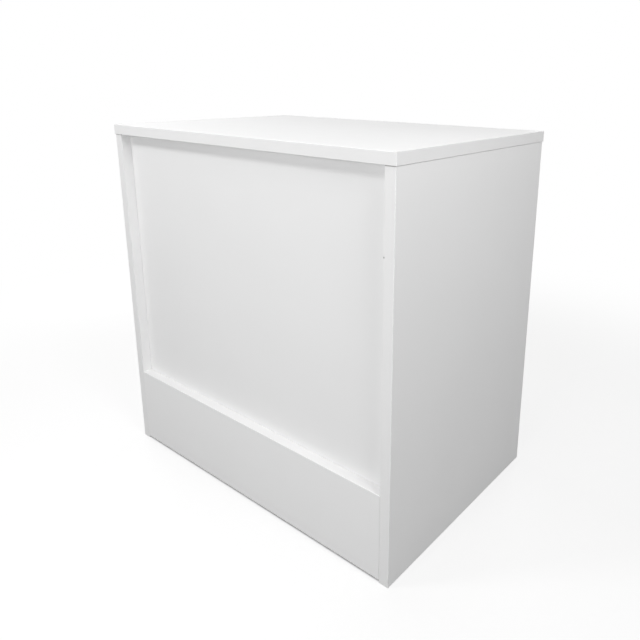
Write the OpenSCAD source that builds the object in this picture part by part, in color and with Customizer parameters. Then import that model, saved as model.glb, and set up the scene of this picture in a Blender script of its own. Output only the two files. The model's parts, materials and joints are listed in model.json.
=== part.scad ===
// Shop counter of white melamine-faced board: a closed front for the customer, open shelves for the staff.
// The top lies on two side panels. Hidden cam fittings and dowels hold the boards: no fixing shows outside.
// Millimetres. The origin is on the floor under the middle of the counter, and +Z is up.
// The customer stands on the -Y side and the staff on the open +Y side.

/* [Counter] */
// Width over the outer faces of the side panels
counter_w = 900; // [600:10:1400]
// Depth over the front and rear edges of the side panels
counter_d = 596; // [450:2:800]
// Height of the worktop above the floor
counter_h = 900; // [760:5:1150]
// Overhang of the top past the carcass, all round
top_overhang = 2; // [0:0.5:20]

/* [Boards] */
// Thickness of every board
board_t = 25; // [19:1:30]
// Thickness of the edging strips
edging_t = 2; // [1:0.5:3]
// Radius on the outer arrises of the edging, less than its thickness
edging_r = 1.2; // [0.3:0.1:1.8]

/* [Front and base] */
// Height of the kickboard's top edge, which is the ledge under the front panel
kick_top = 210; // [160:5:300]
// Gap between the floor and the boards that hang clear of it
floor_gap = 6; // [3:1:15]
// Height of the base board's underside
base_z = 75; // [60:1:100]
// Toe room: distance of the rear plinth from the rear edges
plinth_setback = 40; // [25:5:80]

/* [Adjustable shelf] */
// Row of bores that the shelf's pins are in, counted up from the middle one
shelf_row = 0; // [-3:1:3]
// Clearance at each end of the shelf
shelf_end_gap = 2; // [1.8:0.1:4]
// Clearance between the shelf and the front panel
shelf_front_gap = 3; // [1:0.5:20]
// Distance of the shelf's rear edge from the rear edges of the side panels
shelf_setback = 30; // [10:5:35]

/* [Bores for shelf pins] */
// Diameter of a bore
row_bore_d = 5; // [4:0.5:6]
// Depth of a bore
row_bore_depth = 12; // [10:0.5:15]
// Rows of bores, centred between the base board and the top
row_count = 7; // [7:2:13]
// Height from one row to the next
row_pitch = 32; // [25:1:40]
// Distance of the two columns of bores from the front panel and from the rear edges
row_inset = 50; // [45:1:90]

/* [Shelf pins] */
// Length of a pin in its bore
pin_plug_l = 9; // [6:0.5:9.5]
// Diameter of the collar against the side panel
pin_collar_d = 9; // [8:0.5:12]
// Thickness of that collar
pin_collar_t = 1.4; // [1:0.1:1.5]
// Diameter of the head under the shelf
pin_head_d = 7; // [6.4:0.2:7.8]
// Length of that head
pin_head_l = 8; // [5:0.5:12]
// Height of the flat on the head above the pin's axis
pin_flat = 2.4; // [2:0.1:3]

/* [Cam fittings] */
// Diameter of a cam's bore
cam_d = 15; // [14:0.5:18]
// Distance of a cam's axis from the joint that it pulls together
cam_reach = 34; // [24:1:40]
// Diameter of the bolt's bore along the board
bolt_bore_d = 8; // [8:0.5:9]
// Diameter of the bolt's shoulder, which stops at the joint
bolt_shoulder_d = 7.4; // [6.6:0.2:7.8]
// Diameter of the bolt's shank
bolt_shank_d = 6; // [5:0.2:6.4]
// Diameter of the bolt's neck, which lies in the cam's slot
bolt_neck_d = 4; // [3:0.2:4.4]
// Diameter of the bolt's head, which lies in the cam's chamber
bolt_head_d = 7; // [6:0.2:7.2]
// Diameter of the bolt's thread
bolt_thread_d = 5; // [4:0.5:6]
// Length of the bolt's thread
bolt_thread_l = 11; // [8:0.5:13]

/* [Dowels] */
// Diameter of a dowel
dowel_d = 8; // [6:1:10]
// Length of a dowel
dowel_l = 35; // [30:1:40]
// Part of that length in the board that is bored in its face
dowel_in_face = 12; // [10:1:14]

/* [Kickboard screws] */
// Diameter of a screw
screw_d = 4; // [3:0.5:5]
// Length of a screw with its head
screw_l = 38; // [32:1:40]
// Diameter of the countersunk head
screw_head_d = 8; // [7:0.5:10]
// Screws in each of the two rows
screw_count = 4; // [3:1:6]

/* [Places of the fixings] */
// Distance of the end fixings of a joint from the boards or edges that bound it
fixing_inset = 80; // [70:1:110]

/* [Clearances] */
// Clearance round hardware in its bore, on the radius
fit_gap = 0.05; // [0.02:0.01:0.1]
// Spare depth at the bottom of a bore
end_gap = 1; // [0.5:0.25:1.5]
// Clearance round a bolt's neck and head inside the cam
cam_gap = 0.3; // [0.2:0.05:0.4]

/* [Hidden] */
$fn = 48;

// How far a cut runs on past the face that it opens
over = 1;

// Colours
white_board = [0.93, 0.93, 0.93];
white_edging = [0.90, 0.90, 0.90];
cast_zinc = [0.62, 0.63, 0.65];
plated_steel = [0.74, 0.74, 0.76];
beech = [0.80, 0.66, 0.47];

// Planes of the carcass
inner_w = counter_w - 2 * board_t;
inner_x = inner_w / 2;
outer_x = counter_w / 2;
side_mid_x = inner_x + board_t / 2;
front_y = -counter_d / 2;
rear_y = counter_d / 2;
side_h = counter_h - board_t;
top_x = outer_x + top_overhang;
top_y = rear_y + top_overhang;
top_mid_z = side_h + board_t / 2;

// Planes of the boards between the side panels
kick_back_y = front_y + board_t;
kick_mid_y = front_y + board_t / 2;
panel_back_y = kick_back_y + board_t;
panel_mid_y = kick_back_y + board_t / 2;
base_top_z = base_z + board_t;
base_mid_z = base_z + board_t / 2;
plinth_mid_y = rear_y - plinth_setback - board_t / 2;
plinth_mid_z = (floor_gap + base_z) / 2;

// Columns and rows of the bores for shelf pins
row_mid_z = (base_top_z + side_h) / 2;
row_y = [panel_back_y + row_inset, rear_y - row_inset];
row_z = [for (i = [0 : row_count - 1]) row_mid_z + (i - (row_count - 1) / 2) * row_pitch];

// The shelf lies on the flats of its four pins
shelf_pin_z = row_mid_z + shelf_row * row_pitch;
shelf_z = shelf_pin_z + pin_flat;
shelf_mid_z = shelf_z + board_t / 2;
shelf_x = inner_x - shelf_end_gap;
shelf_front_y = panel_back_y + shelf_front_gap;
shelf_rear_y = rear_y - shelf_setback;
shelf_mid_y = (shelf_front_y + shelf_rear_y) / 2;

// Cams stand at the ends of a joint, and dowels between them
side_fix_y = spread(panel_back_y + fixing_inset, rear_y - fixing_inset, 3);
lowest_fix_z = base_top_z + fixing_inset / 2;
front_fix_z = spread(lowest_fix_z, side_h - fixing_inset, 3);
base_fix_y = spread(panel_back_y + fixing_inset, rear_y - fixing_inset, 2);
dowel_reach = 0.3 * inner_w;
dowel_x = spread(-dowel_reach, dowel_reach, 3);
dowel_chamfer = 1;

// The kickboard's screws stand under the base board and over it
screw_x = [for (i = [0 : screw_count - 1]) inner_w * ((i + 0.5) / screw_count - 0.5)];
screw_z = [plinth_mid_z, (base_top_z + kick_top) / 2];
screw_rim = 0.4;
screw_tip_r = 0.2;
screw_recess_w = 1;
screw_cone = (screw_head_d - screw_d) / 2;
screw_bore_d = screw_d + 2 * fit_gap;
screw_sink_d = screw_head_d + 2 * fit_gap;

// The head's chamber in a cam is off its axis, so that a turn of the cam pulls the bolt in.
// Angles are counted from the side that the bolt comes in on when the joint is tight.
chamber_room = 1.5;
chamber_shift = 0.8;
chamber_r = bolt_head_d / 2 + chamber_room;
chamber_h = bolt_head_d + 2 * cam_gap;
slot_inner_r = chamber_r - 2 * chamber_shift;
slot_h = bolt_neck_d + 2 * cam_gap;
slot_angles = [-50, 160];
entry_h = bolt_head_d + cam_gap;
entry_angles = [145, 215];
cam_floor = 0.8;
cam_h = board_t / 2 + chamber_h / 2 + cam_floor;
cam_bore_depth = cam_h + 0.5 * cam_floor;

// Cross recess and mark in a cam's face
driver_w = 1.2;
driver_l = 6;
driver_depth = 2.5;
mark_w = 2.4;
mark_l = 2;
mark_depth = 0.3;
mark_inset = 1;

// Steps and chamfers of a cam's bolt
bolt_shoulder_l = 1;
bolt_chamfer = 1;
neck_lead = 1;
head_past_axis = 1;

// Chamfers of a shelf pin
pin_chamfer = 0.5;

// Radius of the edging's arrises, always less than its thickness
crown_r = min(edging_r, 0.9 * edging_t);

// Evenly spaced values from the first to the last
function spread(first, last, count) =
    [for (i = [0 : count - 1]) first + (last - first) * i / (count - 1)];

// Middles between the neighbours in a list
function middles(list) = [for (i = [1 : len(list) - 1]) (list[i - 1] + list[i]) / 2];

// A place is a point on a joint's plane, the direction into the board that is bored in its edge,
// and the direction to that board's face with the cams. A side is -1 on the left and 1 on the right.
function top_places(side, ys) =
    [for (y = ys) [[side * side_mid_x, y, side_h], [0, 0, -1], [-side, 0, 0]]];
function front_places(side, zs) =
    [for (z = zs) [[side * inner_x, panel_mid_y, z], [-side, 0, 0], [0, 1, 0]]];
function base_places(side, ys) =
    [for (y = ys) [[side * inner_x, y, base_mid_z], [-side, 0, 0], [0, 0, -1]]];
function plinth_places(side) =
    [[[side * inner_x, plinth_mid_y, plinth_mid_z], [-side, 0, 0], [0, -1, 0]]];

// Places across the counter
top_panel_places = [for (x = dowel_x) [[x, panel_mid_y, side_h], [0, 0, -1], [0, 1, 0]]];
base_panel_places = [for (x = dowel_x) [[x, panel_back_y, base_mid_z], [0, 1, 0], [0, 0, -1]]];
plinth_base_places = [for (x = dowel_x) [[x, plinth_mid_y, base_z], [0, 0, -1], [0, -1, 0]]];
screw_places = [for (x = screw_x) for (z = screw_z) [[x, panel_back_y, z], [0, -1, 0], [1, 0, 0]]];

// A pin's place points into the room, with its flat up
function pin_places(side, zs) =
    [for (y = row_y) for (z = zs) [[side * inner_x, y, z], [-side, 0, 0], [0, 0, 1]]];

// Puts a child's origin on a point, with its +Z and +X along two given directions
module seat(point, z, x) {
    y = cross(z, x);
    multmatrix([
        [x.x, y.x, z.x, point.x],
        [x.y, y.y, z.y, point.y],
        [x.z, y.z, z.z, point.z],
        [0, 0, 0, 1]
    ]) children();
}

// Repeats a child at every place of a list
module at(places) {
    for (p = places) seat(p[0], p[1], p[2]) children();
}

// Block between two planes along each axis
module slab(x, y, z) {
    translate([x[0], y[0], z[0]]) cube([x[1] - x[0], y[1] - y[0], z[1] - z[0]]);
}

// Bore from the joint's plane into the board that its place points into
module bore_in(d, depth) {
    translate([0, 0, -over]) cylinder(d = d, h = depth + over);
}

// Bore from the joint's plane the other way
module bore_out(d, depth) {
    rotate([180, 0, 0]) bore_in(d, depth);
}

// Bores for a cam and the bolt that it holds
module cam_bores() {
    bore_in(bolt_bore_d, cam_reach);
    translate([board_t / 2 - cam_bore_depth, 0, cam_reach])
        rotate([0, 90, 0])
            cylinder(d = cam_d, h = cam_bore_depth + over);
}

// Bore for the bolt's thread
module thread_bore() {
    bore_out(bolt_thread_d + 2 * fit_gap, bolt_thread_l + end_gap);
}

// Bores for the two ends of a dowel
module dowel_edge_bore() {
    bore_in(dowel_d + 2 * fit_gap, dowel_l - dowel_in_face + end_gap);
}
module dowel_face_bore() {
    bore_out(dowel_d + 2 * fit_gap, dowel_in_face + end_gap);
}

// Bore through the front panel, sunk for the screw's head
module screw_bore() {
    bore_in(screw_bore_d, board_t + over);
    bore_in(screw_sink_d, screw_rim);
    translate([0, 0, screw_rim]) cylinder(d1 = screw_sink_d, d2 = screw_bore_d, h = screw_cone);
}

// Bore in the kickboard for the screw's thread
module pilot_bore() {
    bore_in(screw_bore_d, screw_l + end_gap);
}

// Rectangle on the X axis with its two upper corners rounded
module crowned(width) {
    difference() {
        translate([-width / 2, 0]) square([width, edging_t]);
        for (side = [-1, 1])
            translate([side * (width / 2 - crown_r), edging_t - crown_r])
                difference() {
                    translate([side > 0 ? 0 : -2 * crown_r, 0]) square(2 * crown_r);
                    circle(crown_r);
                }
    }
}

// Edging strip along X, glued on at z = 0, rounded along its long arrises and, where they show, at its ends
module edging(length, ends_show = false) {
    color(white_edging)
        if (ends_show)
            intersection() {
                edging_section(length);
                rotate([90, 0, 0]) linear_extrude(board_t, center = true) crowned(length);
            }
        else
            edging_section(length);
}
module edging_section(length) {
    rotate([90, 0, 90]) linear_extrude(length, center = true) crowned(board_t);
}

// Eccentric cam, its face at z = 0, with the bolt arriving along +X in the middle of the board
module cam() {
    color(cast_zinc)
        difference() {
            translate([0, 0, -cam_h]) cylinder(d = cam_d - 2 * fit_gap, h = cam_h);
            translate([-chamber_shift, 0, -(board_t + chamber_h) / 2])
                cylinder(r = chamber_r, h = chamber_h);
            cam_slot(slot_angles, slot_h);
            cam_slot(entry_angles, entry_h);
            for (turn = [0, 90])
                rotate([0, 0, turn])
                    translate([-driver_l / 2, -driver_w / 2, -driver_depth])
                        cube([driver_l, driver_w, driver_depth + over]);
            translate([mark_inset - cam_d / 2, 0, -mark_depth])
                linear_extrude(mark_depth + over)
                    polygon([[0, 0], [mark_l, -mark_w / 2], [mark_l, mark_w / 2]]);
        }
}

// Slot through a cam's wall between two angles, centred on the bolt
module cam_slot(angles, height) {
    rotate([0, 0, angles[0]])
        rotate_extrude(angle = angles[1] - angles[0])
            translate([slot_inner_r, -(board_t + height) / 2])
                square([cam_d, height]);
}

// Bolt on its place's axis: thread, shoulder, shank, neck and head
module cam_bolt() {
    thread_r = bolt_thread_d / 2;
    shank_r = bolt_shank_d / 2;
    shoulder_r = bolt_shoulder_d / 2;
    neck_r = bolt_neck_d / 2;
    head_r = bolt_head_d / 2;
    neck_from = cam_reach - cam_d / 2 - neck_lead;
    chamber_wall = cam_reach + chamber_shift - sqrt(pow(chamber_r, 2) - pow(neck_r, 2));
    head_from = chamber_wall + cam_gap / 2;
    head_to = cam_reach + head_past_axis;
    color(plated_steel)
        rotate_extrude()
            polygon([
                [0, -bolt_thread_l], [thread_r - bolt_chamfer, -bolt_thread_l],
                [thread_r, bolt_chamfer - bolt_thread_l], [thread_r, 0],
                [shoulder_r, 0], [shoulder_r, bolt_shoulder_l],
                [shank_r, bolt_shoulder_l], [shank_r, neck_from - bolt_chamfer],
                [neck_r, neck_from], [neck_r, head_from],
                [head_r, head_from + head_r - neck_r], [head_r, head_to - bolt_chamfer],
                [head_r - bolt_chamfer, head_to], [0, head_to]
            ]);
}

// Cam in the board that its place points into
module placed_cam() {
    seat([board_t / 2, 0, cam_reach], [1, 0, 0], [0, 0, -1]) cam();
}

// Wooden dowel on its place's axis, with chamfered ends
module dowel() {
    r = dowel_d / 2;
    from = -dowel_in_face;
    to = dowel_l - dowel_in_face;
    color(beech)
        rotate_extrude()
            polygon([
                [0, from], [r - dowel_chamfer, from], [r, from + dowel_chamfer],
                [r, to - dowel_chamfer], [r - dowel_chamfer, to], [0, to]
            ]);
}

// Countersunk screw on its place's axis, with a cross in its head
module screw() {
    r = screw_d / 2;
    head_r = screw_head_d / 2;
    color(plated_steel)
        difference() {
            rotate_extrude()
                polygon([
                    [0, 0], [head_r, 0], [head_r, screw_rim], [r, screw_rim + screw_cone],
                    [r, screw_l - screw_d], [screw_tip_r, screw_l], [0, screw_l]
                ]);
            for (turn = [0, 90])
                rotate([0, 0, turn])
                    translate([-screw_d / 2, -screw_recess_w / 2, -over])
                        cube([screw_d, screw_recess_w, over + screw_cone]);
        }
}

// Shelf pin on its place's axis, with a flat on top of its head
module shelf_pin() {
    plug_r = row_bore_d / 2 - fit_gap;
    collar_r = pin_collar_d / 2;
    head_r = pin_head_d / 2;
    head_end = pin_collar_t + pin_head_l;
    color(plated_steel)
        difference() {
            rotate_extrude()
                polygon([
                    [0, -pin_plug_l], [plug_r - pin_chamfer, -pin_plug_l],
                    [plug_r, pin_chamfer - pin_plug_l], [plug_r, 0],
                    [collar_r, 0], [collar_r, pin_collar_t], [head_r, pin_collar_t],
                    [head_r, head_end - pin_chamfer], [head_r - pin_chamfer, head_end], [0, head_end]
                ]);
            translate([pin_flat, -pin_head_d, pin_collar_t]) cube([pin_head_d, 2 * pin_head_d, head_end]);
        }
}

// Worktop, less its edging, bored underneath for the side panels and the front panel
module top_board() {
    color(white_board)
        difference() {
            slab(
                [edging_t - top_x, top_x - edging_t],
                [edging_t - top_y, top_y - edging_t],
                [side_h, counter_h]
            );
            for (side = [-1, 1]) {
                at(top_places(side, side_fix_y)) thread_bore();
                at(top_places(side, middles(side_fix_y))) dowel_face_bore();
            }
            at(top_panel_places) dowel_face_bore();
        }
}

// Side panel, less its edging. Its inner face takes the cams of the top, the bolts of the boards
// between the side panels, and the shelf pins.
module side_panel(side) {
    color(white_board)
        difference() {
            slab(
                side < 0 ? [-outer_x, -inner_x] : [inner_x, outer_x],
                [front_y + edging_t, rear_y - edging_t],
                [edging_t, side_h]
            );
            at(top_places(side, side_fix_y)) cam_bores();
            at(top_places(side, middles(side_fix_y))) dowel_edge_bore();
            at(front_places(side, front_fix_z)) thread_bore();
            at(front_places(side, middles(front_fix_z))) dowel_face_bore();
            at(base_places(side, base_fix_y)) thread_bore();
            at(base_places(side, middles(base_fix_y))) dowel_face_bore();
            at(plinth_places(side)) thread_bore();
            at(pin_places(side, row_z)) bore_out(row_bore_d, row_bore_depth);
        }
}

// Front panel, set back behind the kickboard, from the floor gap to the top
module front_panel() {
    color(white_board)
        difference() {
            slab([-inner_x, inner_x], [kick_back_y, panel_back_y], [floor_gap, side_h]);
            for (side = [-1, 1]) {
                at(front_places(side, front_fix_z)) cam_bores();
                at(front_places(side, middles(front_fix_z))) dowel_edge_bore();
            }
            at(top_panel_places) dowel_edge_bore();
            at(base_panel_places) dowel_face_bore();
            at(screw_places) screw_bore();
        }
}

// Kickboard, less its edging, level with the front edges of the side panels
module kickboard() {
    color(white_board)
        difference() {
            slab([-inner_x, inner_x], [front_y, kick_back_y], [floor_gap + edging_t, kick_top - edging_t]);
            at(screw_places) pilot_bore();
        }
}

// Base board, less its rear edging
module base_board() {
    color(white_board)
        difference() {
            slab([-inner_x, inner_x], [panel_back_y, rear_y - edging_t], [base_z, base_top_z]);
            for (side = [-1, 1]) {
                at(base_places(side, base_fix_y)) cam_bores();
                at(base_places(side, middles(base_fix_y))) dowel_edge_bore();
            }
            at(base_panel_places) dowel_edge_bore();
            at(plinth_base_places) dowel_face_bore();
        }
}

// Rear plinth, less its bottom edging
module rear_plinth() {
    color(white_board)
        difference() {
            slab(
                [-inner_x, inner_x],
                [plinth_mid_y - board_t / 2, plinth_mid_y + board_t / 2],
                [floor_gap + edging_t, base_z]
            );
            for (side = [-1, 1]) at(plinth_places(side)) cam_bores();
            at(plinth_base_places) dowel_edge_bore();
        }
}

// Adjustable shelf, less its edging
module adjustable_shelf() {
    color(white_board)
        slab(
            [edging_t - shelf_x, shelf_x - edging_t],
            [shelf_front_y + edging_t, shelf_rear_y - edging_t],
            [shelf_z, shelf_z + board_t]
        );
}

// Edging of the top: the front and rear strips run over the ends of the other two
module top_front_edging() {
    seat([0, edging_t - top_y, top_mid_z], [0, -1, 0], [1, 0, 0]) edging(2 * top_x, true);
}
module top_rear_edging() {
    seat([0, top_y - edging_t, top_mid_z], [0, 1, 0], [1, 0, 0]) edging(2 * top_x, true);
}
module top_end_edging(side) {
    seat([side * (top_x - edging_t), 0, top_mid_z], [side, 0, 0], [0, 1, 0]) edging(2 * (top_y - edging_t));
}

// Edging of a side panel: the front and rear strips run down over the ends of the bottom one
module side_front_edging(side) {
    seat([side * side_mid_x, front_y + edging_t, side_h / 2], [0, -1, 0], [0, 0, 1]) edging(side_h);
}
module side_rear_edging(side) {
    seat([side * side_mid_x, rear_y - edging_t, side_h / 2], [0, 1, 0], [0, 0, 1]) edging(side_h);
}
module side_bottom_edging(side) {
    seat([side * side_mid_x, 0, edging_t], [0, 0, -1], [0, 1, 0]) edging(counter_d - 2 * edging_t);
}

// Edging of the kickboard, whose top strip is the ledge under the front panel
module kickboard_top_edging() {
    seat([0, kick_mid_y, kick_top - edging_t], [0, 0, 1], [1, 0, 0]) edging(inner_w);
}
module kickboard_bottom_edging() {
    seat([0, kick_mid_y, floor_gap + edging_t], [0, 0, -1], [1, 0, 0]) edging(inner_w);
}

// Edging of the base board and the plinth
module base_rear_edging() {
    seat([0, rear_y - edging_t, base_mid_z], [0, 1, 0], [1, 0, 0]) edging(inner_w);
}
module plinth_bottom_edging() {
    seat([0, plinth_mid_y, floor_gap + edging_t], [0, 0, -1], [1, 0, 0]) edging(inner_w);
}

// Edging of the shelf
module shelf_front_edging() {
    seat([0, shelf_front_y + edging_t, shelf_mid_z], [0, -1, 0], [1, 0, 0]) edging(2 * shelf_x, true);
}
module shelf_rear_edging() {
    seat([0, shelf_rear_y - edging_t, shelf_mid_z], [0, 1, 0], [1, 0, 0]) edging(2 * shelf_x, true);
}
module shelf_end_edging(side) {
    seat([side * (shelf_x - edging_t), shelf_mid_y, shelf_mid_z], [side, 0, 0], [0, 1, 0])
        edging(shelf_rear_y - shelf_front_y - 2 * edging_t);
}

// Cams, bolts and dowels of each joint
module top_cams() {
    for (side = [-1, 1]) at(top_places(side, side_fix_y)) placed_cam();
}
module top_cam_bolts() {
    for (side = [-1, 1]) at(top_places(side, side_fix_y)) cam_bolt();
}
module top_dowels() {
    for (side = [-1, 1]) at(top_places(side, middles(side_fix_y))) dowel();
    at(top_panel_places) dowel();
}
module front_cams() {
    for (side = [-1, 1]) at(front_places(side, front_fix_z)) placed_cam();
}
module front_cam_bolts() {
    for (side = [-1, 1]) at(front_places(side, front_fix_z)) cam_bolt();
}
module front_dowels() {
    for (side = [-1, 1]) at(front_places(side, middles(front_fix_z))) dowel();
}
module base_cams() {
    for (side = [-1, 1]) at(base_places(side, base_fix_y)) placed_cam();
}
module base_cam_bolts() {
    for (side = [-1, 1]) at(base_places(side, base_fix_y)) cam_bolt();
}
module base_dowels() {
    for (side = [-1, 1]) at(base_places(side, middles(base_fix_y))) dowel();
    at(base_panel_places) dowel();
}
module plinth_cams() {
    for (side = [-1, 1]) at(plinth_places(side)) placed_cam();
}
module plinth_cam_bolts() {
    for (side = [-1, 1]) at(plinth_places(side)) cam_bolt();
}
module plinth_dowels() {
    at(plinth_base_places) dowel();
}

// Screws through the front panel into the kickboard
module kickboard_screws() {
    at(screw_places) screw();
}

// Four pins under the shelf
module shelf_pins() {
    for (side = [-1, 1]) at(pin_places(side, [shelf_pin_z])) shelf_pin();
}

top_board();
side_panel(-1);  // left_side_panel
side_panel(1);  // right_side_panel
front_panel();
kickboard();
base_board();
rear_plinth();
adjustable_shelf();
top_front_edging();
top_rear_edging();
top_end_edging(-1);  // top_left_edging
top_end_edging(1);  // top_right_edging
side_front_edging(-1);  // left_front_edging
side_rear_edging(-1);  // left_rear_edging
side_bottom_edging(-1);  // left_bottom_edging
side_front_edging(1);  // right_front_edging
side_rear_edging(1);  // right_rear_edging
side_bottom_edging(1);  // right_bottom_edging
kickboard_top_edging();
kickboard_bottom_edging();
base_rear_edging();
plinth_bottom_edging();
shelf_front_edging();
shelf_rear_edging();
shelf_end_edging(-1);  // shelf_left_edging
shelf_end_edging(1);  // shelf_right_edging
top_cams();
top_cam_bolts();
top_dowels();
front_cams();
front_cam_bolts();
front_dowels();
base_cams();
base_cam_bolts();
base_dowels();
plinth_cams();
plinth_cam_bolts();
plinth_dowels();
kickboard_screws();
shelf_pins();
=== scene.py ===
# %% [markdown]
# # A white shop counter
# This counter is made of chipboard with a hard white paper face on both sides, which makers call
# melamine-faced board. Its edges are covered with white plastic strips. The customer sees a plain recessed
# panel with a kickboard under it, and the staff side is open, with one loose shelf.
#
# The boards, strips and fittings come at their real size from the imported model. This script gives each of
# them its finish, adds the threads and flutes that are too fine for the model, and lights and frames the
# counter. Lengths are in metres, as they are in the model, so a size in millimetres is written as a number
# times MM.

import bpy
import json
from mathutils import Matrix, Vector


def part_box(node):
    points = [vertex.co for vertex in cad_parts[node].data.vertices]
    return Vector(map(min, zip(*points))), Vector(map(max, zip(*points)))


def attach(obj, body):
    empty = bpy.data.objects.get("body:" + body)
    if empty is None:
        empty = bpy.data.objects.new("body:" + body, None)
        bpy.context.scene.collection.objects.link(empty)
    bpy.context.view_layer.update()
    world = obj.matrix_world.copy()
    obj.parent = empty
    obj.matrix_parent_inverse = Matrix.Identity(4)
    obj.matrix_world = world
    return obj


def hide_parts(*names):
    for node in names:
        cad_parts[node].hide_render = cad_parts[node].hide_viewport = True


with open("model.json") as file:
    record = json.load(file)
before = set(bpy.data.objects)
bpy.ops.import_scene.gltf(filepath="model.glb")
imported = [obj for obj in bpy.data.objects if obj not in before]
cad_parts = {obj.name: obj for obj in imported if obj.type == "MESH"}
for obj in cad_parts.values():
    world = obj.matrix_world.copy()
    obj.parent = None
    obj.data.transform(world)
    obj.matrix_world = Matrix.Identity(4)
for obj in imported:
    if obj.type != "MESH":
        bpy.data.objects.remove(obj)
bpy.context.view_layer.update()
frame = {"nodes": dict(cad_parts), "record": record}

MM = 0.001

# %% [markdown]
# ## A short way to write shader nodes
# A finish in Blender is a net of small nodes. Written out in full, each node takes three or four lines and
# hides the idea. One helper adds a node, sets its switches and fills its inputs, either with a value or
# with a wire from another node. A second does sums. The finishes below then read like recipes.

# %% Helpers for nodes
import bpy


def add(tree, kind, inputs=None, **switches):
    """Adds one shader node. An input takes a value, or another node's output as a wire."""
    made = tree.nodes.new("ShaderNode" + kind)
    for name, value in switches.items():
        setattr(made, name, value)
    for name, value in (inputs or {}).items():
        if isinstance(value, bpy.types.NodeSocket):
            tree.links.new(value, made.inputs[name])
        else:
            made.inputs[name].default_value = value
    return made


def maths(tree, operation, a, b=0.0):
    """One sum on two numbers or wires."""
    return add(tree, "Math", {0: a, 1: b}, operation=operation).outputs[0]


print("shader nodes of Blender", bpy.app.version_string)

# %% [markdown]
# ## Where a point is on the counter
# Every pattern needs a position to work from. An unwrapped texture would need a seam plan for each of 93
# solids. The model's own coordinates are simpler: a pattern measured in metres has the same scale on every
# board, runs on where two boards meet, and stays on the shelf when the shelf slides.
#
# Nearly all the patterns are soft noise. Blender's noise seldom leaves the middle of its range, so the
# helper spreads that middle over the values that a finish asks for.

# %% Helpers for patterns
NOISE_MIDDLE = (0.3, 0.7)


def place(tree, packing=(1.0, 1.0, 1.0)):
    """A point's position in metres. Packing over 1 crowds a pattern on an axis, under 1 draws it out."""
    spot = add(tree, "TexCoord").outputs["Object"]
    return add(tree, "Mapping", {"Vector": spot, "Scale": packing}).outputs["Vector"]


def coordinate(tree, axis):
    """The point's position along one axis."""
    return add(tree, "SeparateXYZ", {0: place(tree)}).outputs[axis]


def noise(tree, size, detail=3.0, low=0.0, high=1.0, packing=(1.0, 1.0, 1.0)):
    """Soft noise with features of one size, spread from a low to a high value."""
    raw = add(tree, "TexNoise", {"Vector": place(tree, packing), "Scale": 1.0 / size, "Detail": detail})
    least, most = NOISE_MIDDLE
    spread = {"Value": raw.outputs[0], "From Min": least, "From Max": most, "To Min": low, "To Max": high}
    return add(tree, "MapRange", spread).outputs[0]


print("noise is spread from its middle,", NOISE_MIDDLE)

# %% [markdown]
# ## Which way each board lies
# A board is thin one way and long another, and so is a strip. The box round a piece tells both ways, so
# that one recipe serves the pieces that stand, lie and run across, with no table of directions.

# %% Measure the boards
def thin_way(piece):
    """The axis along which a piece is thinnest."""
    low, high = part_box(piece)
    return min(range(3), key=lambda axis: high[axis] - low[axis])


def long_way(piece):
    """The axis along which a piece is longest."""
    low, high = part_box(piece)
    return max(range(3), key=lambda axis: high[axis] - low[axis])


def extent(piece, axis):
    """The size of a piece along one axis."""
    low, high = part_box(piece)
    return high[axis] - low[axis]


stuff_of = {part["node"]: part["material_slot"] for part in frame["record"]["subparts"]}
boards = [name for name, stuff in stuff_of.items() if stuff == "white_board"]
for board in boards:
    thickness = extent(board, thin_way(board))
    length = extent(board, long_way(board))
    print(board, "is", round(thickness / MM, 1), "mm thick and", round(length / MM, 1), "mm long")

# %% [markdown]
# ## Paper outside, chips inside
# The faces of a board are resin-soaked paper, pressed on in the board works. Inside is chipboard, and it
# shows where a bore goes through the face. The bores are part of the same mesh as the faces, so they could
# only be painted by picking out their triangles. It is simpler to ask how deep a point lies: anything
# further than the paper's thickness from both faces of the board is core.
#
# The kickboard's ends are the exception. They show in the groove beside the rounded edge of the side
# panels, where the photograph has no brown line, so they are sealed white.

# %% Find the core of a board
PAPER_T = 0.2 * MM
SEALED_ENDS = {"kickboard"}


def depth_in_board(tree, board):
    """Distance of a point from the nearer face of its board."""
    low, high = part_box(board)
    thin = thin_way(board)
    across = coordinate(tree, thin)
    from_low = maths(tree, "SUBTRACT", across, low[thin])
    from_high = maths(tree, "SUBTRACT", high[thin], across)
    return maths(tree, "MINIMUM", from_low, from_high)


def away_from_ends(tree, board):
    """0 on the two cut ends of a board and 1 between them."""
    low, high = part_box(board)
    long = long_way(board)
    middle = (low[long] + high[long]) / 2
    from_middle = maths(tree, "ABSOLUTE", maths(tree, "SUBTRACT", coordinate(tree, long), middle))
    return maths(tree, "LESS_THAN", from_middle, extent(board, long) / 2 - PAPER_T)


def core_of(tree, board):
    """1 in the core of a board, and 0 in its faces and sealed ends."""
    core = maths(tree, "GREATER_THAN", depth_in_board(tree, board), PAPER_T)
    if board in SEALED_ENDS:
        core = maths(tree, "MULTIPLY", core, away_from_ends(tree, board))
    return core


print("paper", PAPER_T / MM, "mm thick, ends sealed on", sorted(SEALED_ENDS))

# %% [markdown]
# ## The chips
# The core is pressed from flakes of wood a few millimetres long, some pale and some dark. Soft noise alone
# would look like stains, because it has no edges. A Voronoi pattern does have them: it gives each flake
# its own tone and slightly raised edges. A much finer noise, crowded along one axis, gives the flakes a
# grain.
#
# Colours are mixed with Blender's Mix node. It has sockets for several kinds of value: the colours are its
# inputs 6 and 7 and its output 2, and plain numbers are its inputs 2 and 3 and its output 0.

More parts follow.
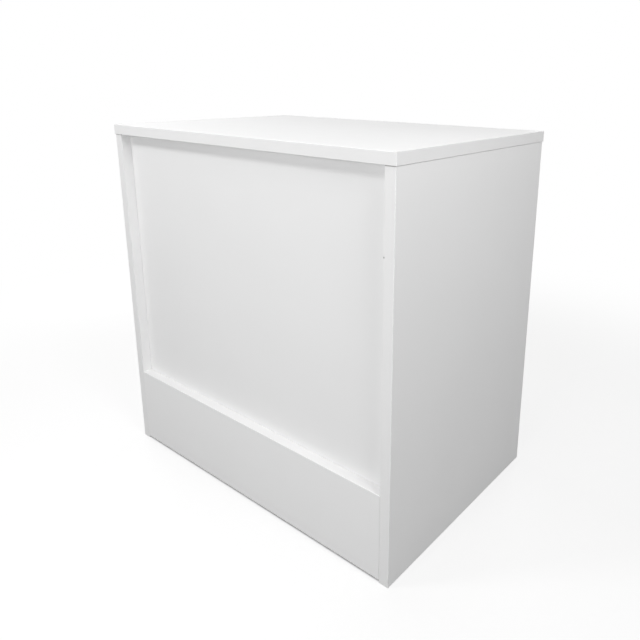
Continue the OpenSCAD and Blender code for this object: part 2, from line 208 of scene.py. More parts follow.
# %% The finish of the core
DARK_CHIP = (0.30, 0.19, 0.10, 1.0)
PALE_CHIP = (0.66, 0.50, 0.32, 1.0)
CHIP_SIZE = 2.2 * MM
CHIP_HEIGHT = 0.25 * MM
CHIP_PACKING = (1.0, 0.7, 1.6)
CHIP_GRAIN = {"size": 0.4 * MM, "detail": 4.0, "packing": (1.0, 4.0, 1.0)}


def between(tree, factor, a, b):
    """A colour between two colours or wires."""
    return add(tree, "Mix", {0: factor, 6: a, 7: b}, data_type="RGBA").outputs[2]


def chips(tree):
    """Colour and height of the chipboard's core."""
    pattern = {"Vector": place(tree, CHIP_PACKING), "Scale": 1.0 / CHIP_SIZE, "Randomness": 1.0}
    cells = add(tree, "TexVoronoi", pattern)
    tone = add(tree, "SeparateColor", {0: cells.outputs["Color"]}).outputs[0]
    mixed = maths(tree, "MULTIPLY", maths(tree, "ADD", tone, noise(tree, **CHIP_GRAIN)), 0.5)
    colour = between(tree, mixed, DARK_CHIP, PALE_CHIP)
    return colour, maths(tree, "MULTIPLY", cells.outputs["Distance"], CHIP_HEIGHT)


print("chips", round(CHIP_SIZE / MM, 1), "mm wide")

# %% [markdown]
# ## An empty finish and its fine relief
# Blender's usual shader takes a colour, a roughness and a normal, and each finish of this counter has a
# pattern for all three. The relief of most of them is about a hundredth of a millimetre, far too fine for
# a mesh. A Bump node tilts the normal by a height instead, so the light falls as if the surface were
# uneven, and one bump can be laid on top of another.

# %% Helpers for finishes
def grey(value):
    """A neutral colour."""
    return (value, value, value, 1.0)


def new_finish(name):
    """An empty material, its node tree and its shader."""
    material = bpy.data.materials.new(name)
    material.use_nodes = True
    return material, material.node_tree, material.node_tree.nodes["Principled BSDF"]


def raise_surface(tree, shader, height):
    """Tilts the shader's normal by a height, on top of any tilt that it has already."""
    bump = add(tree, "Bump", {"Height": height, "Distance": 1.0, "Strength": 1.0})
    if shader.inputs["Normal"].is_linked:
        tree.links.new(shader.inputs["Normal"].links[0].from_socket, bump.inputs["Normal"])
    tree.links.new(bump.outputs["Normal"], shader.inputs["Normal"])


def wire_up(tree, shader, colour, roughness, height):
    """Wires a colour, a roughness and a height into the shader."""
    tree.links.new(colour, shader.inputs["Base Color"])
    tree.links.new(roughness, shader.inputs["Roughness"])
    raise_surface(tree, shader, height)


print("a middle grey is", grey(0.5))

# %% [markdown]
# ## The white faces
# The paper is pressed against a textured plate. It comes out hard and white, with a fine pearl texture
# under a millimetre wide and a satin gloss, and wiping makes the gloss a little uneven. A flat white would
# look like card, so the white drifts by a hair over a quarter of a metre, the gloss has smears, and the
# pearl tilts the surface.
#
# Paper and core meet in one material, because they belong to one mesh.

# %% The board's finish
WHITE_PAPER = 0.87
WHITE_DRIFT = 0.006
PAPER_CLOUDS = {"size": 250 * MM, "detail": 2.0}
SMEARS = {"size": 60 * MM, "detail": 5.0, "low": 0.42, "high": 0.52, "packing": (1.0, 2.5, 1.0)}
PEARL = {"size": 0.7 * MM, "detail": 2.0, "high": 0.01 * MM}
PAPER_SHINE = 0.3
CORE_ROUGHNESS = 0.9


def drifting_white(tree, white, clouds):
    """A white that drifts a little either way."""
    return between(tree, noise(tree, **clouds), grey(white - WHITE_DRIFT), grey(white + WHITE_DRIFT))


def melamine_board(board):
    """The finish of one board: white satin faces round a core of chips."""
    material, tree, shader = new_finish("melamine_" + board)
    core = core_of(tree, board)
    chip_colour, chip_height = chips(tree)
    colour = between(tree, core, drifting_white(tree, WHITE_PAPER, PAPER_CLOUDS), chip_colour)
    core_roughness = maths(tree, "MULTIPLY", core, CORE_ROUGHNESS)
    roughness = maths(tree, "MAXIMUM", noise(tree, **SMEARS), core_roughness)
    height = add(tree, "Mix", {0: core, 2: noise(tree, **PEARL), 3: chip_height}).outputs[0]
    wire_up(tree, shader, colour, roughness, height)
    shader.inputs["Specular IOR Level"].default_value = PAPER_SHINE
    return material


print("paper white", WHITE_PAPER, "with a pearl of", round(PEARL["size"] / MM, 1), "mm")

# %% [markdown]
# ## Plastic edging
# The strips are 2 mm thick, glued on and trimmed with a rounding cutter and a scraper. They are a touch
# smoother than the boards. The scraper leaves faint ripples across the strip, a bit under a millimetre
# apart.
#
# The ripples are a few thousandths of a millimetre high, so they too are a bump. A wave along the strip's
# own length makes them, and a slow noise makes them come and go.

# %% The edging's finish
import math

WHITE_PLASTIC = 0.845
PLASTIC_CLOUDS = {"size": 90 * MM}
PLASTIC_ROUGHNESS = {"size": 12 * MM, "detail": 4.0, "low": 0.36, "high": 0.46}
PLASTIC_GRAIN = {"size": 0.5 * MM, "high": 0.004 * MM}
PLASTIC_SHINE = 0.4
RIPPLE_STEP = 0.8 * MM
RIPPLE_HEIGHT = {"size": 40 * MM, "detail": 2.0, "high": 0.002 * MM}


def edging_ripples(tree, strip):
    """Height of the scraper's ripples across one strip."""
    along = coordinate(tree, long_way(strip))
    wave = maths(tree, "SINE", maths(tree, "MULTIPLY", along, 2 * math.pi / RIPPLE_STEP))
    return maths(tree, "MULTIPLY", wave, noise(tree, **RIPPLE_HEIGHT))


def plastic_edging(strip):
    """The finish of one edging strip."""
    material, tree, shader = new_finish("edging_" + strip)
    colour = drifting_white(tree, WHITE_PLASTIC, PLASTIC_CLOUDS)
    height = maths(tree, "ADD", noise(tree, **PLASTIC_GRAIN), edging_ripples(tree, strip))
    wire_up(tree, shader, colour, noise(tree, **PLASTIC_ROUGHNESS), height)
    shader.inputs["Specular IOR Level"].default_value = PLASTIC_SHINE
    return material


print("plastic white", WHITE_PLASTIC, "with ripples", round(RIPPLE_STEP / MM, 1), "mm apart")

# %% [markdown]
# ## Metal fittings
# The cams are cast in zinc: dull silver, with a mottled skin. The bolts, screws and shelf pins are turned
# or drawn steel with a bright plating, smoother, with fine drawn lines. Both are bare metal, so the shader
# is fully metallic. What differs is how rough it is and how the roughness is spread, so one recipe takes
# both.

# %% The metals' finishes
DARK_ZINC = (0.50, 0.51, 0.53, 1.0)
PALE_ZINC = (0.66, 0.67, 0.69, 1.0)
ZINC_MOTTLE = {"size": 2.5 * MM, "detail": 5.0}
ZINC_ROUGHNESS = {"size": 1.2 * MM, "detail": 4.0, "low": 0.34, "high": 0.56}
ZINC_SKIN = {"size": 0.6 * MM, "detail": 4.0, "high": 0.012 * MM}
DARK_STEEL = (0.52, 0.52, 0.53, 1.0)
PALE_STEEL = (0.62, 0.62, 0.63, 1.0)
STEEL_CLOUDS = {"size": 6 * MM}
DRAWN = (1.0, 1.0, 12.0)
STEEL_ROUGHNESS = {"size": 1.5 * MM, "detail": 5.0, "low": 0.20, "high": 0.36, "packing": DRAWN}
STEEL_LINES = {"size": 0.8 * MM, "high": 0.002 * MM, "packing": DRAWN}


def bare_metal(name, dark, pale, clouds, roughness, skin):
    """A metal in two tones, with a pattern for its roughness and one for its skin."""
    material, tree, shader = new_finish(name)
    colour = between(tree, noise(tree, **clouds), dark, pale)
    wire_up(tree, shader, colour, noise(tree, **roughness), noise(tree, **skin))
    shader.inputs["Metallic"].default_value = 1.0
    return material


def cast_zinc(group):
    """Dull cast zinc with a mottled skin."""
    name = "cast_zinc_" + group
    return bare_metal(name, DARK_ZINC, PALE_ZINC, ZINC_MOTTLE, ZINC_ROUGHNESS, ZINC_SKIN)


def plated_steel(group):
    """Bright plated steel with fine drawn lines."""
    name = "plated_steel_" + group
    return bare_metal(name, DARK_STEEL, PALE_STEEL, STEEL_CLOUDS, STEEL_ROUGHNESS, STEEL_LINES)


for metal, rough in (("zinc", ZINC_ROUGHNESS), ("steel", STEEL_ROUGHNESS)):
    print(metal, "roughness from", rough["low"], "to", rough["high"])

# %% [markdown]
# ## Beech dowels
# Dowels are beech, a pale wood with a faint pink cast and short dark flecks along the grain. A peg 8 mm
# thick is too thin for the growth rings to show, so noise will do. The dowels of this counter stand or lie
# from side to side. A noise that is drawn out along both those ways gives the fibres, and a coarser one
# gives the flecks.

# %% The dowels' finish
DARK_BEECH = (0.62, 0.44, 0.27, 1.0)
PALE_BEECH = (0.80, 0.63, 0.43, 1.0)
FLECK_BROWN = (0.48, 0.31, 0.18, 1.0)
FIBRES = {"size": 0.8 * MM, "detail": 5.0, "packing": (0.15, 1.0, 0.15)}
FLECKS = {"size": 1.6 * MM, "detail": 2.0, "low": -1.2, "high": 1.0, "packing": (0.4, 2.0, 0.4)}
BEECH_ROUGHNESS = {"size": 2 * MM, "low": 0.55, "high": 0.75}
BEECH_PORES = {"size": 0.5 * MM, "detail": 4.0, "high": 0.02 * MM, "packing": (0.2, 1.0, 0.2)}


def beech(group):
    """Plain turned beech with short flecks."""
    material, tree, shader = new_finish("beech_" + group)
    wood = between(tree, noise(tree, **FIBRES), DARK_BEECH, PALE_BEECH)
    flecks = add(tree, "Clamp", {"Value": noise(tree, **FLECKS)}).outputs[0]
    colour = between(tree, flecks, wood, FLECK_BROWN)
    wire_up(tree, shader, colour, noise(tree, **BEECH_ROUGHNESS), noise(tree, **BEECH_PORES))
    return material


print("beech fibres", round(FIBRES["size"] / MM, 1), "mm wide")

# %% [markdown]
# ## Dressing the pieces
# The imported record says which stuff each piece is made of. A table from that word to the recipe dresses
# them all in one loop, so a piece that is added later gets its finish without a new line here. The pieces
# keep their meshes and places: only the material in each slot changes.

# %% Dress the pieces
RECIPES = {
    "white_board": melamine_board,
    "white_edging": plastic_edging,
    "cast_zinc": cast_zinc,
    "plated_steel": plated_steel,
    "beech": beech,
}

for name, piece in frame["nodes"].items():
    finish = RECIPES[stuff_of[name]](name)
    if not piece.material_slots:
        piece.data.materials.append(finish)
    for slot in piece.material_slots:
        slot.material = finish
for stuff in RECIPES:
    print(stuff, "on", sum(1 for word in stuff_of.values() if word == stuff), "pieces")

# %% [markdown]
# ## Painting over a finish
# A small flaw could have a material of its own, on a few faces. But the faces of a packed strip run its
# whole length, and none has the flaw's size. So a flaw, and the painted shade that goes with it, is laid
# over the strip's finish as a pattern that is 1 inside it and 0 outside. The old colour stays wired in
# under the new one.

# %% Helpers that change a finish
def finish_of(name):
    """The node tree and the shader of a piece's finish."""
    tree = frame["nodes"][name].material_slots[0].material.node_tree
    return tree, tree.nodes["Principled BSDF"]


def paint_over(tree, shader, where, colour):
    """Lays a colour over a finish where the pattern is 1."""
    under = shader.inputs["Base Color"].links[0].from_socket
    tree.links.new(between(tree, where, under, colour), shader.inputs["Base Color"])


print("nodes in a strip's finish:", len(finish_of("right_front_edging")[0].nodes))

# %% [markdown]
# ## A nick in the edging
# The photograph shows one small dark nick on the inner arris of the right front strip, about a fifth of
# the way down from the top. Cutting it out of the mesh would change the imported strip, so it is painted
# into the strip's finish: a ragged spot where the surface dips, and where painted shade darkens the colour
# as the hollow of the nick would be shaded.

# %% Add the nick
NICKED_STRIP = "right_front_edging"
NICK_BELOW_TOP = 166 * MM
NICK_FROM_INNER_SIDE = 1 * MM
NICK_BEHIND_FACE = 0.5 * MM
NICK_SIZE = 2.4 * MM
NICK_HEART = 0.8 * MM
NICK_DEPTH = 0.5 * MM
NICK_RAGGED = {"size": 0.9 * MM, "low": -0.4 * MM, "high": 0.4 * MM}
# the dark grey of the painted shade in the nick's hollow
NICK_SHADE_COLOUR = (0.14, 0.13, 0.12, 1.0)


def add_nick(strip, centre):
    """Paints shade into a ragged spot in a strip's finish, as the nick's hollow would be shaded, and sinks
    it.
    """
    tree, shader = finish_of(strip)
    far = add(tree, "VectorMath", {0: place(tree), 1: centre}, operation="DISTANCE").outputs["Value"]
    ragged = maths(tree, "ADD", far, noise(tree, **NICK_RAGGED))
    inwards = {"Value": ragged, "From Min": NICK_SIZE, "From Max": NICK_HEART}
    spot = add(tree, "MapRange", inwards).outputs[0]
    # painted shade: the spot is darkened as the hollow of the nick would be
    paint_over(tree, shader, spot, NICK_SHADE_COLOUR)
    raise_surface(tree, shader, maths(tree, "MULTIPLY", spot, -NICK_DEPTH))


strip_low, strip_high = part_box(NICKED_STRIP)
nick_place = (
    strip_low[0] + NICK_FROM_INNER_SIDE,
    strip_low[1] + NICK_BEHIND_FACE,
    strip_high[2] - NICK_BELOW_TOP,
)
add_nick(NICKED_STRIP, nick_place)
print("nick at", [round(v / MM, 1) for v in nick_place], "mm")

# %% [markdown]
# ## The line under the top
# Where the strips of the side panels meet the underside of the top, the photograph has a fine dark line,
# darkest at the corner. It is mostly shade under the top's small overhang, with some dust in the hairline
# joint. The imported boards touch with no gap, so the line is painted shade: the last two millimetres of
# each front strip fade to grey.

# %% Add the line under the top
STRIPS_UNDER_THE_TOP = ("left_front_edging", "right_front_edging")
SHADE_AND_DUST_FADE = 2 * MM
# painted shade, with a little dust: the grey that the front strips fade to under the top
SHADE_AND_DUST_COLOUR = (0.20, 0.19, 0.18, 1.0)
UPRIGHT = 2


def add_shade_and_dust(strip, end):
    """Fades a strip's finish to grey towards its upper end, as painted shade and dust under the top."""
    tree, shader = finish_of(strip)
    fade = {"Value": coordinate(tree, UPRIGHT), "From Min": end - SHADE_AND_DUST_FADE, "From Max": end}
    # painted shade: the strip turns grey where the top's overhang shades it
    paint_over(tree, shader, add(tree, "MapRange", fade).outputs[0], SHADE_AND_DUST_COLOUR)


for strip in STRIPS_UNDER_THE_TOP:
    upper_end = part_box(strip)[1][UPRIGHT]
    add_shade_and_dust(strip, upper_end)
    print("painted shade and dust on", strip, "up to", round(upper_end / MM, 1), "mm")

# %% [markdown]
# ## Taking a group of fittings apart
# Cam bolts, dowels and screws are turned round an axis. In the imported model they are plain, because a
# thread would cost far more than it adds to the fit. The real ones have a rolled thread or pressed flutes,
# and that shows in their outline, so it has to be in the mesh and not only in a bump.
#
# Typing in the place of every one would tie the script to one size of counter. The detailed pieces start
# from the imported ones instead. A group of fittings is one mesh, so first each solid is followed from point
# to point.

# %% Separate the solids of a group
import bmesh

SAME_PLACE = 0.001 * MM


def separate_solids(node):
    """The points of each solid in a node's mesh."""
    shape = bmesh.new()
    shape.from_mesh(frame["nodes"][node].data)
    bmesh.ops.remove_doubles(shape, verts=shape.verts, dist=SAME_PLACE)
    solids = []
    for start in shape.verts:
        if start.tag:
            continue
        start.tag = True
        reached = [start]
        for point in reached:
            beside = [edge.other_vert(point) for edge in point.link_edges]
            fresh = [other for other in beside if not other.tag]
            for other in fresh:
                other.tag = True
            reached += fresh
        solids.append([point.co.copy() for point in reached])
    shape.free()
    return solids


FITTINGS = ("cam_bolts", "dowels", "screws")
fitting_nodes = [node for node in frame["nodes"] if node.endswith(FITTINGS)]
solids_in = {node: separate_solids(node) for node in fitting_nodes}
for node in fitting_nodes:
    print(node, "holds", len(solids_in[node]), "fittings")

# %% [markdown]
# ## The corners of an outline
# A turned piece is known by its outline: a list of corners, each with a height along the axis and a
# radius. The points of one ring differ in their last digits, so heights and radii are rounded before they
# are compared. Where the outline has a shoulder, two corners share a height, and sorting can't tell which
# comes first. It is the one whose radius is nearer to that of the corner before.

# %% Put corners in order
def rounded(length):
    """A length rounded to a hundredth of a millimetre."""
    return round(length / MM, 2) * MM


def in_order(corners):
    """Where two corners share a height, the one nearer to the outline so far comes first."""
    outline = [corners[0]]
    rest = corners[1:]
    while rest:
        level = [c for c in rest if c[0] - rest[0][0] < SAME_PLACE]
        nearest = min(level, key=lambda c: abs(c[1] - outline[-1][1]))
        outline.append(nearest)
        rest.remove(nearest)
    return outline


print("a shoulder in order:", in_order([(0, 2), (5, 1), (5, 2), (9, 1)]))

# %% [markdown]
# ## Reading the outline of a fitting
# The axis of a turned piece is the long way of its box. Every height where a whole ring of points shares
# one radius is a corner of its outline. The outline is kept from the thin end, so that a bolt always
# starts with its thread, together with the matrix that puts it back in its place. A piece made from that
# outline sits in the same bore, whatever size the counter is given.

# %% Read the outlines
from collections import Counter
from mathutils import Matrix, Vector

POINTS_IN_A_RING = 12


def turned_outline(points):
    """The (height, radius) corners of a turned solid from its thin end, and the matrix that places it."""
    low = Vector([min(p[i] for p in points) for i in range(3)])
    high = Vector([max(p[i] for p in points) for i in range(3)])
    long = max(range(3), key=lambda i: high[i] - low[i])
    start = (low + high) / 2
    start[long] = low[long]
    upward = Vector([float(i == long) for i in range(3)])
    heights = [(p - start).dot(upward) for p in points]
    radii = [(p - start - upward * h).length for p, h in zip(points, heights)]
    rings = Counter((rounded(h), rounded(r)) for h, r in zip(heights, radii))
    corners = sorted(ring for ring, count in rings.items() if count >= POINTS_IN_A_RING)
    if corners[0][1] > corners[-1][1]:
        length = high[long] - low[long]
        start[long] = high[long]
        upward = -upward
        corners = sorted((length - h, r) for h, r in corners)
    turn = upward.to_track_quat("Z", "Y").to_matrix().to_4x4()
    return in_order(corners), Matrix.Translation(start) @ turn


sample_bolt, _ = turned_outline(solids_in["top_cam_bolts"][0])
print("cam bolt, height and radius in mm:", [(round(h / MM, 1), round(r / MM, 1)) for h, r in sample_bolt])

# %% [markdown]
# ## Threads and flutes
# A thread is a ridge that climbs by one pitch in a full turn. So the radius of each point depends on its
# height less its share of the turn: at a whole number of pitches it stands on the crest, half a pitch on
# it lies in the valley. The flutes of a dowel are simpler. They run straight, so their depth depends on
# the angle, and they fade out before both ends. Both are only ever cut into the outline, so nothing grows
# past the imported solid.

# %% How deep threads and flutes cut
BOLT_PITCH = 2.2 * MM
SCREW_PITCH = 1.8 * MM
RIDGE_SHARE = 0.45
CORE_SHARE = 0.6
FLUTES = 20
FLUTE_DEPTH = 0.35 * MM
FLUTE_PLAIN_END = 1.5 * MM


def thread_cut(pitch, up_to):
    """How far a thread cuts in, for a height, a share of the turn and the outline's radius."""
    def cut(height, turn, radius):
        climb = height / pitch - turn
        off_crest = 2 * abs(climb - round(climb))
        valley = min(off_crest / RIDGE_SHARE, 1.0)
        run_out = min(max((up_to - height) / pitch, 0.0), 1.0)
        return (1 - CORE_SHARE) * radius * valley * run_out
    return cut


def flute_cut(length):
    """How far the flutes cut into a dowel of one length."""
    def cut(height, turn, radius):
        groove = 0.5 + 0.5 * math.cos(2 * math.pi * FLUTES * turn)
        from_end = min(height, length - height)
        return FLUTE_DEPTH * groove ** 2 * min(max(from_end / FLUTE_PLAIN_END - 1.0, 0.0), 1.0)
    return cut


long_thread = thread_cut(BOLT_PITCH, 10 * BOLT_PITCH)
half_a_turn = 0.5
valley_depth = long_thread(0.0, half_a_turn, sample_bolt[0][1])
print("the valley of a cam bolt's thread is", round(valley_depth / MM, 2), "mm deep at its start")

# %% [markdown]
# ## Turning a mesh
# A lathe would take the outline round the axis. In Blender the Screw modifier does that, but it knows no
# thread that runs out at a shoulder. A stack of rings is as short to write, and each point can be cut in
# by its own depth. Rings stand close together only where something is cut, which keeps the mesh light.

# %% Turn an outline
def close_up(shape, layers):
    """Joins layers of points with faces, and closes both ends."""
    for lower, upper in zip(layers, layers[1:]):
        for i in range(len(lower)):
            j = (i + 1) % len(lower)
            shape.faces.new((lower[i], lower[j], upper[j], upper[i]))
    shape.faces.new(reversed(layers[0]))
    shape.faces.new(layers[-1])


def turned_mesh(outline, cut, around, step_up, cut_up_to):
    """A closed turned mesh: rings at the outline's corners, and at even steps where it is cut."""
    rings = []
    for (h0, r0), (h1, r1) in zip(outline, outline[1:]):
        pieces = max(round((h1 - h0) / step_up), 1) if h0 < cut_up_to else 1
        rings += [(h0 + (h1 - h0) * i / pieces, r0 + (r1 - r0) * i / pieces) for i in range(pieces)]
    rings.append(outline[-1])
    shape = bmesh.new()
    layers = []
    for height, radius in rings:
        layer = []
        for step in range(around):
            turn = step / around
            r = radius - cut(height, turn, radius)
            angle = 2 * math.pi * turn
            layer.append(shape.verts.new((r * math.cos(angle), r * math.sin(angle), height)))
        layers.append(layer)
    close_up(shape, layers)
    return shape


print("outline of a cam bolt:", len(sample_bolt), "corners to turn")

# %% [markdown]
# ## From the workbench to the scene
# bmesh is Blender's workbench for meshes. Points and faces are added there, and nothing shows until the
# result is written into a mesh, the mesh is put in an object, and the object is linked to the scene. A
# mesh could also be filled from plain lists, but there a face names its points by number, which is easy to
# get wrong in a stack of rings.

# %% Helpers for meshes and objects
def as_mesh(shape):
    """Turns a bmesh into a mesh."""
    mesh = bpy.data.meshes.new("turned")
    shape.to_mesh(mesh)
    shape.free()
    return mesh


def as_object(shape, name):
    """Turns a bmesh into an object in the scene."""
    made = bpy.data.objects.new(name, as_mesh(shape))
    bpy.context.scene.collection.objects.link(made)
    return made


print(len(bpy.data.meshes), "meshes so far")

# %% [markdown]
# ## The cross in a screw's head
# The recess is punched, so it narrows downwards. Its walls could be worked into the faces of the head by
# hand, but it is easier to do as the maker does. The punch is made as a tapered cross that stands proud of
# the head, and the Boolean modifier cuts it out. The corners of the cross run the same way round as the
# rings above, so that its faces look outwards, which the modifier relies on.
#
# A quarter of the cross has three corners. Turned round by 90 degrees three times, they give the other
# nine.

# %% Make the punch
RECESS_SIZE = 4.2 * MM
RECESS_ARM = 1 * MM
RECESS_DEPTH = 2 * MM
TAPER_AT_THE_TIP = 0.6
TAPER_ABOVE_THE_HEAD = 1.2


def cross_punch(top):
    """A cross that narrows downwards from a little above the top of a head."""
    reach, half_arm = RECESS_SIZE / 2, RECESS_ARM / 2
    quarter = [(reach, -half_arm), (reach, half_arm), (half_arm, half_arm)]
    corners = []
    for _ in range(4):
        corners += quarter
        quarter = [(-y, x) for x, y in quarter]
    shape = bmesh.new()
    layers = []
    ends = ((TAPER_AT_THE_TIP, top - RECESS_DEPTH), (TAPER_ABOVE_THE_HEAD, top + RECESS_DEPTH / 2))
    for taper, z in ends:
        layers.append([shape.verts.new((x * taper, y * taper, z)) for x, y in corners])
    close_up(shape, layers)
    return as_object(shape, "cross_punch")


def punched(fitting, punch):
    """The fitting's mesh with the punch's shape cut out. Both objects are removed."""
    cut = fitting.modifiers.new("punch", "BOOLEAN")
    cut.object = punch
    cut.solver = "EXACT"
    scene_now = bpy.context.evaluated_depsgraph_get()
    mesh = bpy.data.meshes.new_from_object(fitting.evaluated_get(scene_now))
    for spare in (fitting, punch):
        bpy.data.objects.remove(spare)
    return mesh


print("cross", round(RECESS_SIZE / MM, 1), "mm wide and", round(RECESS_DEPTH / MM, 1), "mm deep")

# %% [markdown]
# ## The three kinds of fitting
# A cam bolt has a coarse thread for wood, up to its shoulder, and a smooth shank with a coned head. A
# kickboard screw is countersunk and threaded nearly up to its head. A dowel is a plain peg with flutes
# that let the glue and the air out. Each recipe takes the outline that was read from the model and returns
# one mesh.

# %% Recipes for the fittings
POINTS_ROUND = 28
RINGS_IN_A_PITCH = 8
SCREW_PLAIN = 4 * MM
POINTS_IN_A_FLUTE = 4
FLUTE_STEP = 1.5 * MM


def cam_bolt(outline):
    """A cam bolt, threaded up to its first shoulder."""
    shoulder = next(h1 for (h0, _), (h1, _) in zip(outline, outline[1:]) if h1 - h0 < SAME_PLACE)
    thread = thread_cut(BOLT_PITCH, shoulder)
    return as_mesh(turned_mesh(outline, thread, POINTS_ROUND, BOLT_PITCH / RINGS_IN_A_PITCH, shoulder))


def screw(outline):
    """A countersunk screw, threaded nearly up to its head."""
    length = outline[-1][0]
    plain_from = length - SCREW_PLAIN
    thread = thread_cut(SCREW_PITCH, plain_from)
    shape = turned_mesh(outline, thread, POINTS_ROUND, SCREW_PITCH / RINGS_IN_A_PITCH, plain_from)
    return punched(as_object(shape, "screw"), cross_punch(length))


def dowel(outline):
    """A beech dowel with straight flutes."""
    length = outline[-1][0]
    return as_mesh(turned_mesh(outline, flute_cut(length), POINTS_IN_A_FLUTE * FLUTES, FLUTE_STEP, length))


TURNED = {"cam_bolts": cam_bolt, "dowels": dowel, "screws": screw}
print("recipes for", ", ".join(TURNED))

# %% [markdown]
# ## Putting the fittings in their bores
# One fitting of each group is turned and then copied to every place that was read from the model, each
# turned about 40 degrees further round, because no two screws stop at the same angle. The copies could
# stay separate objects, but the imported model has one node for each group. So the copies of a group become
# one piece, which rides on the carcass and stands in for that node. Faces that meet at a sharp angle keep
# a crisp edge, and the rest are shaded smooth.

# %% Turn and place the fittings
SHARP_ANGLE = math.radians(35)
FURTHER_ROUND = 0.7


def stand_in(node, mesh, places):
    """One piece with a copy of the mesh at each place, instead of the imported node."""
    shape = bmesh.new()
    for number, place_there in enumerate(places):
        before = len(shape.verts)
        shape.from_mesh(mesh)
        shape.verts.ensure_lookup_table()
        a_bit_further = Matrix.Rotation(FURTHER_ROUND * number, 4, "Z")
        bmesh.ops.transform(shape, matrix=place_there @ a_bit_further, verts=shape.verts[before:])
    for face in shape.faces:
        face.smooth = True
    for edge in shape.edges:
        edge.smooth = edge.calc_face_angle(0.0) < SHARP_ANGLE
    piece = as_object(shape, "turned_" + node)
    piece.data.materials.append(frame["nodes"][node].material_slots[0].material)
    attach(piece, "carcass")
    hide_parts(node)
    return piece


for node in fitting_nodes:
    make = next(recipe for ending, recipe in TURNED.items() if node.endswith(ending))
    read = [turned_outline(points) for points in solids_in[node]]
    outline = read[0][0]
    piece = stand_in(node, make(outline), [where for _, where in read])
    print(piece.name, "of", len(read), "fittings and", len(piece.data.vertices), "points")

# %% [markdown]
# ## What the eye sees and what the light meets
# The photograph shows the counter cut out on white. A floor bright enough to look white would throw its
# light back up and wash out the lower boards. Blender can tell the two apart: a ray that comes from the
# camera, or that reached the floor in a reflection or through glass, is for the eye, and every other ray
# carries light.

# %% Tell the eye from the light
RAYS_FOR_THE_EYE = ("Is Camera Ray", "Is Glossy Ray", "Is Transmission Ray")


def seen_by_eye(tree):
    """1 for what the camera sees directly, in a reflection or through glass."""
    path = add(tree, "LightPath")
    seen = 0.0
    for kind in RAYS_FOR_THE_EYE:
        seen = maths(tree, "MAXIMUM", seen, path.outputs[kind])
    return seen


print("for the eye:", ", ".join(RAYS_FOR_THE_EYE))

# %% [markdown]
# ## The shadow on the floor
# The cut-out has no shadow at all, but a counter without one would seem to float. So the floor keeps a
# share of the real shadow, which fades out a metre or two away. Under the counter the shadow is left in
# full, so that the gap below the kickboard looks dark, as it does in the photograph.

# %% Share out the shadow
SHADOW_SHARE = 0.3
SHADOW_FADE = (0.9, 2.2)
FOOTPRINT_EDGE = 4 * MM


def outside_counter(tree, where):
    """0 under the counter and 1 outside its footprint, with a soft edge."""
    half_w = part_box("right_side_panel")[1][0]
    half_d = (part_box("right_rear_edging")[1][1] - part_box("right_front_edging")[0][1]) / 2
    sides = add(tree, "SeparateXYZ", {0: where})
    past_x = maths(tree, "SUBTRACT", maths(tree, "ABSOLUTE", sides.outputs[0]), half_w)
    past_y = maths(tree, "SUBTRACT", maths(tree, "ABSOLUTE", sides.outputs[1]), half_d)
    past = maths(tree, "MAXIMUM", past_x, past_y)
    soft = {"Value": past, "From Min": -FOOTPRINT_EDGE, "From Max": 0.0}
    return add(tree, "MapRange", soft).outputs[0]


def plain_share(tree):
    """The share of plain white for the eye: none under the counter, most beside it, all further away."""
    where = place(tree)
    away = add(tree, "VectorMath", {0: where}, operation="LENGTH").outputs["Value"]
    near, far = SHADOW_FADE
    fade = {"Value": away, "From Min": near, "From Max": far, "To Min": 1.0 - SHADOW_SHARE, "To Max": 1.0}
    plain_white = add(tree, "MapRange", fade, interpolation_type="SMOOTHSTEP").outputs[0]
    return maths(tree, "MULTIPLY", plain_white, outside_counter(tree, where))


print("the floor keeps", SHADOW_SHARE, "of the shadow, which fades out between", SHADOW_FADE, "m")

# %% [markdown]
# ## The floor
# The floor could be a square sheet with a curved backdrop, as in a studio. A flat round one is enough
# here: its rim lies far beyond the shadow, and the world behind it is as white for the eye as the floor
# is, so the rim doesn't show. For bounced light the floor is a plain pale grey. For the eye it is a mix of
# a plain white that glows and a white that takes the shadow.

# %% Make the floor
FLOOR_RADIUS = 8.0
FLOOR_CORNERS = 96
FLOOR_GREY = 0.35
FLOOR_EYE_WHITE = 0.95


def floor_finish():
    """Pale grey for bounced light, and white with a faint shadow for the eye."""
    material, tree, shader = new_finish("floor")
    tree.nodes.remove(shader)
    shadowed = add(tree, "BsdfDiffuse", {"Color": grey(FLOOR_EYE_WHITE)}).outputs[0]
    white = add(tree, "Emission", {"Color": grey(1.0), "Strength": 1.0}).outputs[0]
    for_eye = add(tree, "MixShader", {0: plain_share(tree), 1: shadowed, 2: white}).outputs[0]
    for_light = add(tree, "BsdfDiffuse", {"Color": grey(FLOOR_GREY)}).outputs[0]
    both = add(tree, "MixShader", {0: seen_by_eye(tree), 1: for_light, 2: for_eye}).outputs[0]
    tree.links.new(both, tree.nodes["Material Output"].inputs["Surface"])
    return material


bpy.ops.mesh.primitive_circle_add(vertices=FLOOR_CORNERS, radius=FLOOR_RADIUS, fill_type="NGON")
floor = bpy.context.object
floor.name = "floor"
floor.data.materials.append(floor_finish())
print("floor", 2 * FLOOR_RADIUS, "m across")

# %% [markdown]
# ## Light from the room
# A white counter shows its shape only by how much light each side gets. In the photograph the shadow under
# the top is soft and shallow, so much of the light comes from the room itself. More lamps could give that,
# but each would add a shadow of its own. The world gives it evenly from all sides: a dim light on the
# counter, and plain white where the eye looks past it.

# %% The world
ROOM_LIGHT = 0.32

world = bpy.data.worlds.new("studio")
bpy.context.scene.world = world
world.use_nodes = True
sky = world.node_tree
background = sky.nodes["Background"]
background.inputs["Color"].default_value = grey(1.0)
brightness = add(sky, "MapRange", {"Value": seen_by_eye(sky), "To Min": ROOM_LIGHT, "To Max": 1.0})
sky.links.new(brightness.outputs[0], background.inputs["Strength"])
print("room light:", ROOM_LIGHT)

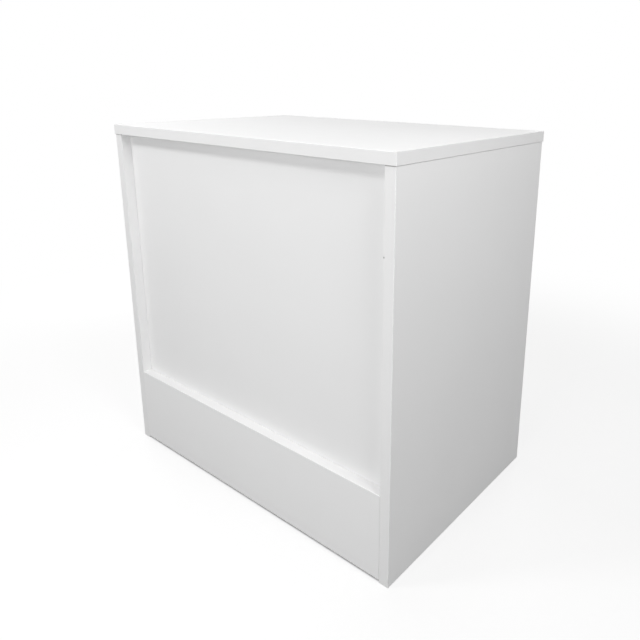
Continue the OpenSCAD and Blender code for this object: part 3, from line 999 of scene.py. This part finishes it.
# %% [markdown]
# ## Softboxes
# The rest comes from round softboxes. A small one at the front left, 45 degrees up, throws the narrow
# shadow under the top. A wide, low one in front fills it. The one on the right is turned well round to the
# side, so that the edge of the side panel throws only a faint shade on the front panel, and that side
# turns greyer towards the back and the floor, as it does in the photograph.
#
# Two on the left and one behind light the sides that the photograph doesn't show. The low one on the left
# and the one behind are centred below the height of the top, so that it hardly mirrors them. The one
# behind stands further off than the rest, so that the shelf's edge doesn't turn bright when it is drawn
# out.

# %% The softboxes
AIM = Vector((0.0, 0.0, 0.5))
# name: degrees to the right of the front, degrees up, metres off, size in metres, watts
SOFTBOXES = {
    "front_left": (-25, 45, 2.2, 0.4, 12.1),
    "front_low": (13, 15, 2.2, 0.9, 12.8),
    "right_high": (72, 36, 2.2, 0.9, 18.3),
    "left_high": (-90, 55, 2.2, 0.9, 9.4),
    "left_low": (-100, 0, 2.2, 0.9, 9.0),
    "staff_side": (188, 0, 4.0, 1.6, 92.0),
}


def towards(azimuth, elevation):
    """The direction from the counter to something at two angles in degrees. Azimuth 0 is in front."""
    a, e = math.radians(azimuth), math.radians(elevation)
    return Vector((math.sin(a) * math.cos(e), -math.cos(a) * math.cos(e), math.sin(e)))


def softbox(name, azimuth, elevation, distance, size, watts):
    """A round lamp that looks at the counter and that the camera doesn't see."""
    light = bpy.data.lights.new(name, "AREA")
    light.shape = "DISK"
    light.size = size
    light.energy = watts
    lamp = bpy.data.objects.new(name, light)
    bpy.context.scene.collection.objects.link(lamp)
    direction = towards(azimuth, elevation)
    lamp.location = AIM + direction * distance
    lamp.rotation_euler = direction.to_track_quat("Z", "Y").to_euler()
    lamp.visible_camera = False
    return lamp


for name, settings in SOFTBOXES.items():
    lamp = softbox(name, *settings)
    print(name, "at", [round(v, 2) for v in lamp.location], "with", round(lamp.data.energy, 1), "W")

# %% [markdown]
# ## The camera
# The photograph was taken from the customer's side, to the right of the counter and from about a metre up.
# Its edges run to the same vanishing points as the real edges only from one place, so the camera stands
# there. The picture is cropped off centre, which the lens shift repeats. A slight roll levels the edges as
# they are there.

# %% The camera
CAMERA_PLACE = Vector((1.0709, -1.1412, 1.0184))
CAMERA_AZIMUTH = 38.70
CAMERA_ELEVATION = 15.09
CAMERA_ROLL = 0.52
LENS_MM = 34.66
SENSOR_MM = 36.0
SHIFT = (-0.0788, -0.1173)

camera = bpy.data.objects.new("camera", bpy.data.cameras.new("camera"))
bpy.context.scene.collection.objects.link(camera)
camera.data.lens = LENS_MM
camera.data.sensor_width = SENSOR_MM
camera.data.shift_x, camera.data.shift_y = SHIFT
back = towards(CAMERA_AZIMUTH, CAMERA_ELEVATION)
level = back.to_track_quat("Z", "Y").to_matrix()
roll = Matrix.Rotation(math.radians(CAMERA_ROLL), 3, "Z")
camera.matrix_world = Matrix.Translation(CAMERA_PLACE) @ (level @ roll).to_4x4()
bpy.context.scene.camera = camera
bpy.context.scene.view_settings.view_transform = "Standard"
print("camera at", [round(v, 3) for v in CAMERA_PLACE], "lens", LENS_MM, "mm")

# %% [markdown]
# ## The size
# Finishes and added pieces mustn't make the counter bigger.

# %% Finish
import json
